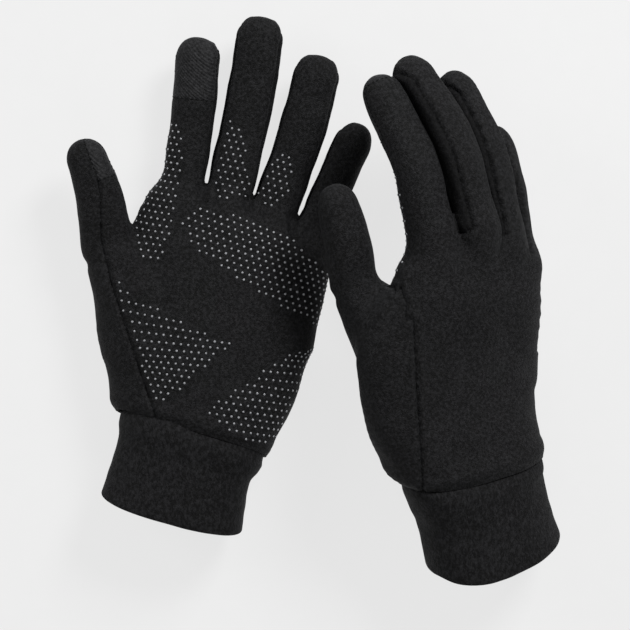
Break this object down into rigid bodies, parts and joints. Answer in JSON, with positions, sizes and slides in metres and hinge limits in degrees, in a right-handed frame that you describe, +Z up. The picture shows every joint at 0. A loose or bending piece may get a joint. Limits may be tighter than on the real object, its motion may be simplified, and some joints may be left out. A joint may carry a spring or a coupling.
{
  "type": "pair of touchscreen gloves",
  "caption": "Pair of knitted full-finger gloves with double cuffs, fourchettes, touch patches on thumb and index fingertips, and a printed silicone grip on each palm.",
  "frame": {"origin": "on the table, under the middle of the pair", "axes": "+X from the left glove towards the right one, +Y from the wrists towards the fingertips, +Z up from the table"},
  "size_m": [0.2371, 0.2659, 0.0755],
  "materials": {
    "shell_knit": "matte black brushed interlock knit",
    "fourchette_knit": "matte black knit, slightly darker",
    "cuff_knit": "matte black double knit",
    "touch_knit": "dark grey conductive twill knit",
    "silicone_grip": "pale grey satin silicone print",
    "label_tape": "plain woven tape, no text",
    "seam_thread": "black sewing thread"
  },
  "bodies": {
    "left_hand": {"left_back_panel": "shell_knit", "left_care_label": "label_tape", "left_cuff": "cuff_knit", "left_finger_webs": "fourchette_knit", "left_palm_grip_little_side": "silicone_grip", "left_palm_grip_thumb_side": "silicone_grip", "left_palm_grip_upper": "silicone_grip", "left_palm_panel": "shell_knit", "left_thumb_gusset": "shell_knit", "left_thumb_side_panel": "shell_knit"},
    "left_index": {"left_index_back": "shell_knit", "left_index_fourchette": "fourchette_knit", "left_index_grip": "silicone_grip", "left_index_palm_side": "shell_knit", "left_index_touch_patch": "touch_knit"},
    "left_middle": {"left_middle_back": "shell_knit", "left_middle_fourchette": "fourchette_knit", "left_middle_grip": "silicone_grip", "left_middle_palm_side": "shell_knit"},
    "left_ring": {"left_ring_back": "shell_knit", "left_ring_fourchette": "fourchette_knit", "left_ring_grip": "silicone_grip", "left_ring_palm_side": "shell_knit"},
    "left_little": {"left_little_back": "shell_knit", "left_little_fourchette": "fourchette_knit", "left_little_palm_side": "shell_knit"},
    "left_thumb": {"left_thumb_outer_side": "shell_knit", "left_thumb_palm_side": "shell_knit", "left_thumb_touch_patch": "touch_knit"},
    "right_hand": {"right_back_panel": "shell_knit", "right_care_label": "label_tape", "right_cuff": "cuff_knit", "right_finger_webs": "fourchette_knit", "right_palm_grip_little_side": "silicone_grip", "right_palm_grip_thumb_side": "silicone_grip", "right_palm_grip_upper": "silicone_grip", "right_palm_panel": "shell_knit", "right_thumb_gusset": "shell_knit", "right_thumb_side_panel": "shell_knit"},
    "right_index": {"right_index_back": "shell_knit", "right_index_fourchette": "fourchette_knit", "right_index_grip": "silicone_grip", "right_index_palm_side": "shell_knit", "right_index_touch_patch": "touch_knit"},
    "right_middle": {"right_middle_back": "shell_knit", "right_middle_fourchette": "fourchette_knit", "right_middle_grip": "silicone_grip", "right_middle_palm_side": "shell_knit"},
    "right_ring": {"right_ring_back": "shell_knit", "right_ring_fourchette": "fourchette_knit", "right_ring_grip": "silicone_grip", "right_ring_palm_side": "shell_knit"},
    "right_little": {"right_little_back": "shell_knit", "right_little_fourchette": "fourchette_knit", "right_little_palm_side": "shell_knit"},
    "right_thumb": {"right_thumb_outer_side": "shell_knit", "right_thumb_palm_side": "shell_knit", "right_thumb_touch_patch": "touch_knit"}
  },
  "joints": [
    {"name": "right_glove_lift", "type": "slide", "parent": "left_hand", "child": "right_hand", "axis": [0, 0, 1], "range_m": [0, 0.12]},
    {"name": "left_index_bend", "type": "hinge", "parent": "left_hand", "child": "left_index", "pos_m": [-0.06254, 0.06141, 0.01251], "axis": [0.9876, -0.1569, 0], "range_deg": [-10, 65]},
    {"name": "left_middle_bend", "type": "hinge", "parent": "left_hand", "child": "left_middle", "pos_m": [-0.03924, 0.05694, 0.01239], "axis": [0.9731, -0.2303, 0], "range_deg": [-10, 65]},
    {"name": "left_ring_bend", "type": "hinge", "parent": "left_hand", "child": "left_ring", "pos_m": [-0.01591, 0.04999, 0.01239], "axis": [0.9453, -0.3263, 0], "range_deg": [-10, 65]},
    {"name": "left_little_bend", "type": "hinge", "parent": "left_hand", "child": "left_little", "pos_m": [0.00589, 0.04352, 0.01199], "axis": [0.9169, -0.3991, 0], "range_deg": [-10, 40]},
    {"name": "left_thumb_bend", "type": "hinge", "parent": "left_hand", "child": "left_thumb", "pos_m": [-0.10051, 0.02734, 0.01984], "axis": [0.9825, 0.1864, 0], "range_deg": [-12, 30]},
    {"name": "right_index_bend", "type": "hinge", "parent": "right_hand", "child": "right_index", "pos_m": [0.05166, 0.03714, 0.06249], "axis": [-0.8256, -0.2288, 0.5159], "range_deg": [-20, 30]},
    {"name": "right_middle_bend", "type": "hinge", "parent": "right_hand", "child": "right_middle", "pos_m": [0.07272, 0.04016, 0.05453], "axis": [-0.8171, -0.2677, 0.5106], "range_deg": [-20, 30]},
    {"name": "right_ring_bend", "type": "hinge", "parent": "right_hand", "child": "right_ring", "pos_m": [0.0879, 0.03727, 0.04248], "axis": [-0.8319, -0.1944, 0.5198], "range_deg": [-20, 30]},
    {"name": "right_little_bend", "type": "hinge", "parent": "right_hand", "child": "right_little", "pos_m": [0.0997, 0.02923, 0.029], "axis": [-0.845, -0.0854, 0.528], "range_deg": [-15, 30]},
    {"name": "right_thumb_bend", "type": "hinge", "parent": "right_hand", "child": "right_thumb", "pos_m": [0.01885, 0.01039, 0.0541], "axis": [-0.8064, -0.3097, 0.5039], "range_deg": [-12, 14]}
  ]
}
